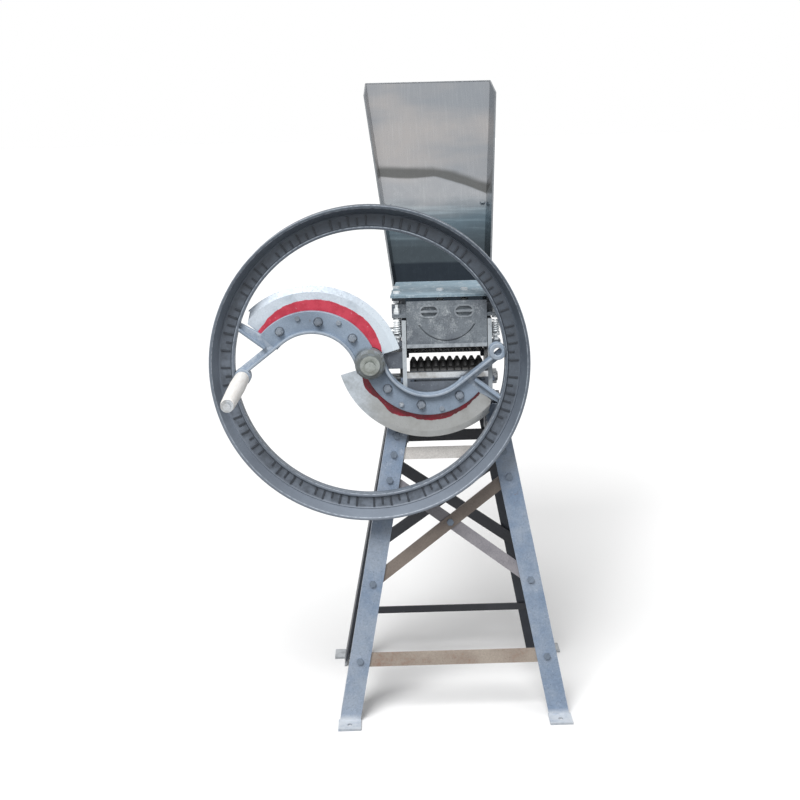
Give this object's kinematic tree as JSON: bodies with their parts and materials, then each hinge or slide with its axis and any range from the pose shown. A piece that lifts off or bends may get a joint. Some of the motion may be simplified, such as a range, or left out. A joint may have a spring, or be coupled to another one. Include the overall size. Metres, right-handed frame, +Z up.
{
  "type": "chaff cutter",
  "caption": "Hand-turned chaff cutter: a flywheel with curved knives on S arms shears fodder at a cast mouth fed by worm-driven toothed rolls from a sheet tray on an angle-iron stand.",
  "frame": {"origin": "on the floor, in the middle of the four floor-bolt holes", "axes": "+Z up; -Y is the flywheel side, +Y the tray side; +X to the right as seen from the flywheel side"},
  "size_m": [0.8799, 1.2256, 1.5897],
  "materials": {
    "leg_blue": "worn satin",
    "charcoal": "satin",
    "rusty": "dull, slightly rusted",
    "lavender": "dull",
    "cast_mid": "satin",
    "cast_dark": "satin",
    "plate_blue": "satin",
    "zinc": "zinc plated",
    "steel": "ground",
    "bronze": "machined",
    "galvanised": "bright galvanised",
    "wood": "pale, dusty"
  },
  "bodies": {
    "stand": {"front_leg_left": "leg_blue", "front_leg_right": "leg_blue", "rear_leg_left": "charcoal", "rear_leg_right": "charcoal", "front_lower_bar": "rusty", "rear_lower_bar": "charcoal", "front_upper_bar": "lavender", "rear_upper_bar": "charcoal", "front_brace_outer": "rusty", "front_brace_inner": "lavender", "rear_brace_outer": "charcoal", "rear_brace_inner": "charcoal", "stand_bolts": "cast_mid", "head_bolts": "cast_mid", "cheek_left": "cast_mid", "cheek_right": "cast_mid", "mouth_sill": "cast_mid", "sill_bolts": "cast_mid", "ledger_bar": "steel", "rear_bed": "cast_mid", "top_plate": "plate_blue", "cover_bar": "cast_mid", "cover_bolts": "zinc", "lower_bushes": "bronze", "shaft_bracket": "cast_mid", "bracket_screws": "zinc", "shaft_bushes": "bronze", "spring_rods": "zinc", "spring_left": "zinc", "spring_right": "zinc", "tray_floor": "galvanised", "tray_walls": "galvanised", "tray_stays": "charcoal", "tray_clips": "charcoal", "tray_bolts": "zinc"},
    "jaw": {"face_plate": "cast_mid", "upper_blocks": "cast_dark", "spring_hangers": "zinc"},
    "upper_feed": {"upper_roll": "cast_dark", "upper_roll_shaft": "steel", "upper_gear": "cast_dark", "upper_collar": "steel"},
    "lower_feed": {"lower_roll": "cast_dark", "lower_roll_shaft": "steel", "lower_gear": "cast_dark", "lower_collar": "steel"},
    "wheel": {"main_shaft": "steel", "worm": "cast_dark", "rear_shaft_collar": "steel", "thrust_washer": "bronze", "flywheel": "cast_dark", "hub_key": "steel", "hub_washer": "steel", "knife_right": "steel", "knife_left": "steel", "knife_bolts": "zinc", "set_screws": "zinc", "handle_spindle": "steel", "grip_washer": "steel"},
    "crank_grip": {"grip": "wood"}
  },
  "joints": [
    {"name": "wheel_spin", "type": "hinge", "parent": "stand", "child": "wheel", "pos_m": [-0.186, -0.138, 0.91], "axis": [0, 1, 0], "continuous": true},
    {"name": "lower_feed_spin", "type": "hinge", "parent": "stand", "child": "lower_feed", "pos_m": [0, -0.07, 0.852], "axis": [1, 0, 0], "continuous": true},
    {"name": "jaw_lift", "type": "slide", "parent": "stand", "child": "jaw", "axis": [0, 0, 1], "range_m": [0, 0.005], "stiffness_N_per_m": 8000, "springref_m": -0.01, "deforming": ["spring_left", "spring_right"]},
    {"name": "upper_feed_spin", "type": "hinge", "parent": "jaw", "child": "upper_feed", "pos_m": [0, -0.07, 0.968], "axis": [1, 0, 0], "continuous": true},
    {"name": "grip_spin", "type": "hinge", "parent": "wheel", "child": "crank_grip", "pos_m": [-0.49014, -0.3, 0.88713], "axis": [0, 1, 0], "continuous": true}
  ],
  "couplings": [
    {"joint": "lower_feed_spin", "follows": "wheel_spin", "ratio": 0.052632},
    {"joint": "upper_feed_spin", "follows": "wheel_spin", "ratio": -0.052632}
  ]
}
